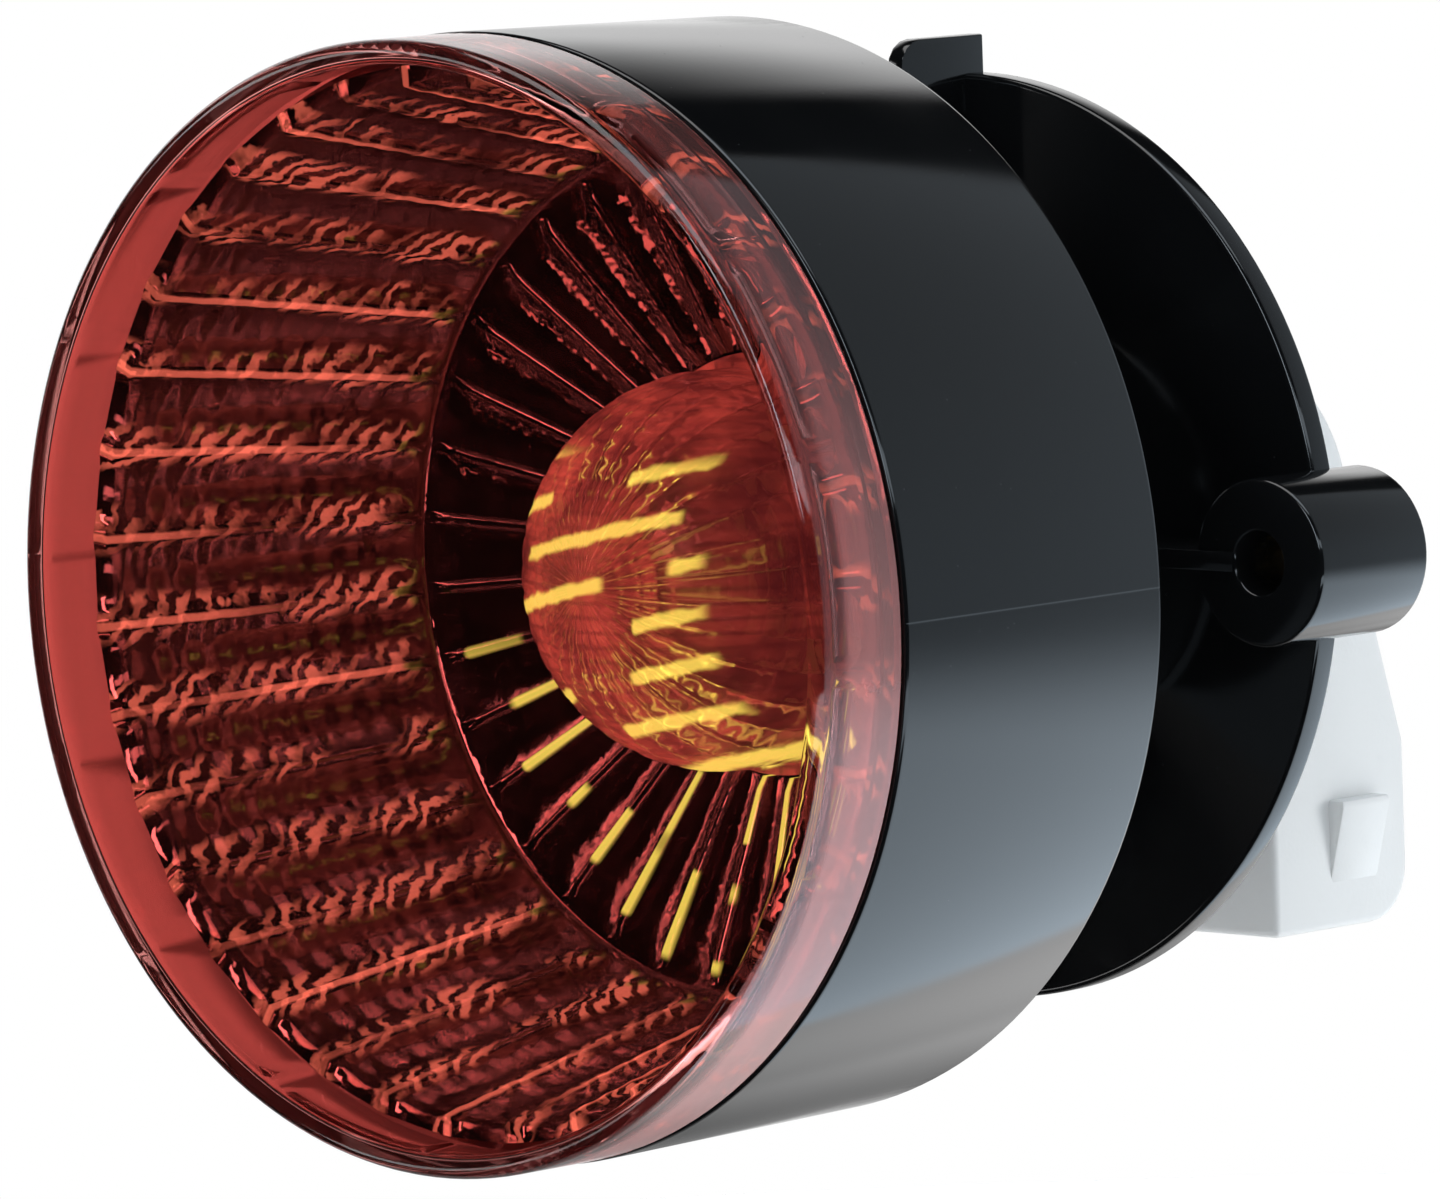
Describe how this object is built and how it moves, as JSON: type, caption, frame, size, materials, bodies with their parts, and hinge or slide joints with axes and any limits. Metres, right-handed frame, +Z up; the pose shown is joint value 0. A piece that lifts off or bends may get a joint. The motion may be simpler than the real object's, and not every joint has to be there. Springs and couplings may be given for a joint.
{
  "type": "vehicle signal lamp module",
  "caption": "Round red signal lamp with a fluted reflector, a twist-in bulb holder with a downward connector and a rear flange with screw bosses.",
  "frame": {"origin": "on the lamp's axis, in the plane of the three screw bosses' rear faces", "axes": "+Y along the lamp's axis towards the connector, so the lens faces -Y; +Z up, with the connector pointing down; +X through one screw boss"},
  "size_m": [0.0982, 0.1127, 0.0982],
  "materials": {
    "lens_red": "gloss",
    "reflector_metal": "gloss",
    "optic_clear": "gloss",
    "housing_black": "satin",
    "holder_white": "satin",
    "seal_rubber": "matte",
    "brass": "satin",
    "tinned_brass": "satin",
    "spring_steel": "satin",
    "insulator_black": "matte",
    "bulb_glass": "gloss",
    "solder": "satin",
    "filament": "satin"
  },
  "bodies": {
    "lamp": {"lens": "lens_red", "reflector": "reflector_metal", "inner_optic": "optic_clear", "optic_ring": "housing_black", "front_housing": "housing_black", "breather_cap": "seal_rubber", "rear_flange": "housing_black", "threaded_insert_1": "brass", "threaded_insert_2": "brass", "threaded_insert_3": "brass"},
    "holder": {"holder_body": "holder_white", "holder_seal": "seal_rubber", "tail_terminal": "tinned_brass", "earth_terminal": "tinned_brass", "stop_terminal": "tinned_brass", "socket_shell": "spring_steel", "contact_spring": "spring_steel"},
    "contacts": {"contact_carrier": "insulator_black", "contact_pin_tail": "brass", "contact_pin_stop": "brass"},
    "bulb": {"bulb_glass": "bulb_glass", "bulb_cap": "tinned_brass", "bulb_insulator": "insulator_black", "bulb_contact_tail": "solder", "bulb_contact_stop": "solder", "bulb_stem": "bulb_glass", "filament_stop": "filament", "filament_tail": "filament"}
  },
  "joints": [
    {"name": "holder_twist", "type": "hinge", "parent": "lamp", "child": "holder", "pos_m": [0, 0, 0], "axis": [0, 1, 0], "range_deg": [0, 40]},
    {"name": "bulb_push", "type": "slide", "parent": "holder", "child": "contacts", "axis": [0, 1, 0], "range_m": [0, 0.002], "stiffness_N_per_m": 600, "springref_m": -0.003, "deforming": ["contact_spring"]},
    {"name": "bulb_turn", "type": "hinge", "parent": "contacts", "child": "bulb", "pos_m": [0, 0, 0], "axis": [0, 1, 0], "range_deg": [0, 20]}
  ]
}
